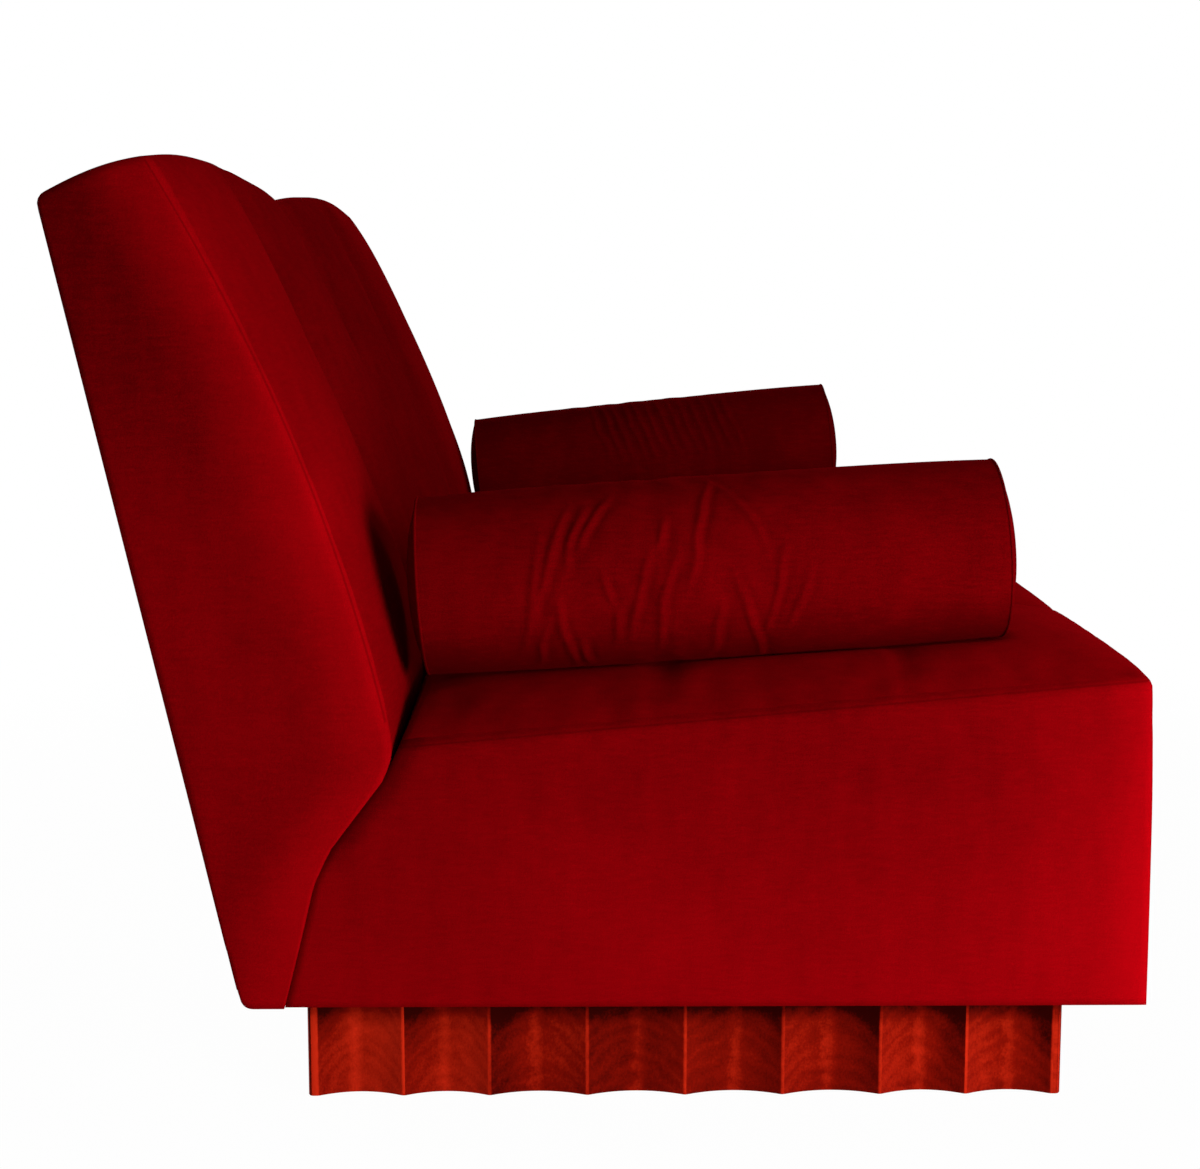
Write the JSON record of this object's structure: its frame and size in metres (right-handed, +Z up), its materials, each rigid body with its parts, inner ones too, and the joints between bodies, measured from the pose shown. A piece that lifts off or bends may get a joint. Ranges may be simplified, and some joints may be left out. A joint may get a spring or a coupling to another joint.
{
  "type": "settee",
  "caption": "Upholstered settee with a fluted wooden plinth, a tufted seat block, a raked tapering tufted back and loose cylindrical bolsters that lie front to back as arms.",
  "frame": {"origin": "on the floor, under the middle of the settee's overall box", "axes": "+X along the settee's length, towards the sitter's left; +Y towards the rear, so the front faces -Y; +Z up"},
  "size_m": [1.75, 1.071, 0.9551],
  "materials": {
    "red_velvet": "deep red cut-pile velvet",
    "mahogany": "satin lacquered reddish mahogany",
    "frame_timber": "planed, unfinished",
    "foam": "upholstery foam",
    "webbing": "woven elastic webbing",
    "dust_cloth": "black non-woven lining",
    "zinc_steel": "zinc plated",
    "glide_plastic": "matt dark plastic"
  },
  "bodies": {
    "settee": {"plinth_front": "mahogany", "plinth_back": "mahogany", "plinth_end_left": "mahogany", "plinth_end_right": "mahogany", "plinth_block_front_right": "frame_timber", "plinth_block_front_left": "frame_timber", "plinth_block_back_right": "frame_timber", "plinth_block_back_left": "frame_timber", "plinth_bearer_right": "frame_timber", "plinth_bearer_left": "frame_timber", "plinth_bolt_front_right": "zinc_steel", "plinth_bolt_front_left": "zinc_steel", "plinth_bolt_back_right": "zinc_steel", "plinth_bolt_back_left": "zinc_steel", "floor_glide_front_right": "glide_plastic", "floor_glide_front_left": "glide_plastic", "floor_glide_back_right": "glide_plastic", "floor_glide_back_left": "glide_plastic", "seat_rail_front": "frame_timber", "seat_rail_back": "frame_timber", "seat_rail_right": "frame_timber", "seat_rail_left": "frame_timber", "seat_cross_right": "frame_timber", "seat_cross_left": "frame_timber", "seat_web_1": "webbing", "seat_web_2": "webbing", "seat_web_3": "webbing", "seat_web_4": "webbing", "seat_web_long": "webbing", "seat_foam": "foam", "seat_cover": "red_velvet", "dust_cloth": "dust_cloth", "back_rail_bottom": "frame_timber", "back_rail_top": "frame_timber", "back_post_right": "frame_timber", "back_post_centre": "frame_timber", "back_post_left": "frame_timber", "back_web_1": "webbing", "back_web_2": "webbing", "back_web_3": "webbing", "back_foam": "foam", "back_cover": "red_velvet", "back_outer_panel": "red_velvet", "back_bolt_1": "zinc_steel", "back_bolt_2": "zinc_steel", "back_bolt_3": "zinc_steel", "back_bolt_4": "zinc_steel", "back_nut_1": "zinc_steel", "back_nut_2": "zinc_steel", "back_nut_3": "zinc_steel", "back_nut_4": "zinc_steel"},
    "bolster_right": {"bolster_cover_right": "red_velvet", "bolster_core_right": "foam", "bolster_end_front_right": "red_velvet", "bolster_end_back_right": "red_velvet"},
    "bolster_left": {"bolster_cover_left": "red_velvet", "bolster_core_left": "foam", "bolster_end_front_left": "red_velvet", "bolster_end_back_left": "red_velvet"}
  },
  "joints": [
    {"name": "bolster_right_lift", "type": "slide", "parent": "settee", "child": "bolster_right", "axis": [0, 0, 1], "range_m": [0, 0.6]},
    {"name": "bolster_left_lift", "type": "slide", "parent": "settee", "child": "bolster_left", "axis": [0, 0, 1], "range_m": [0, 0.6]}
  ]
}
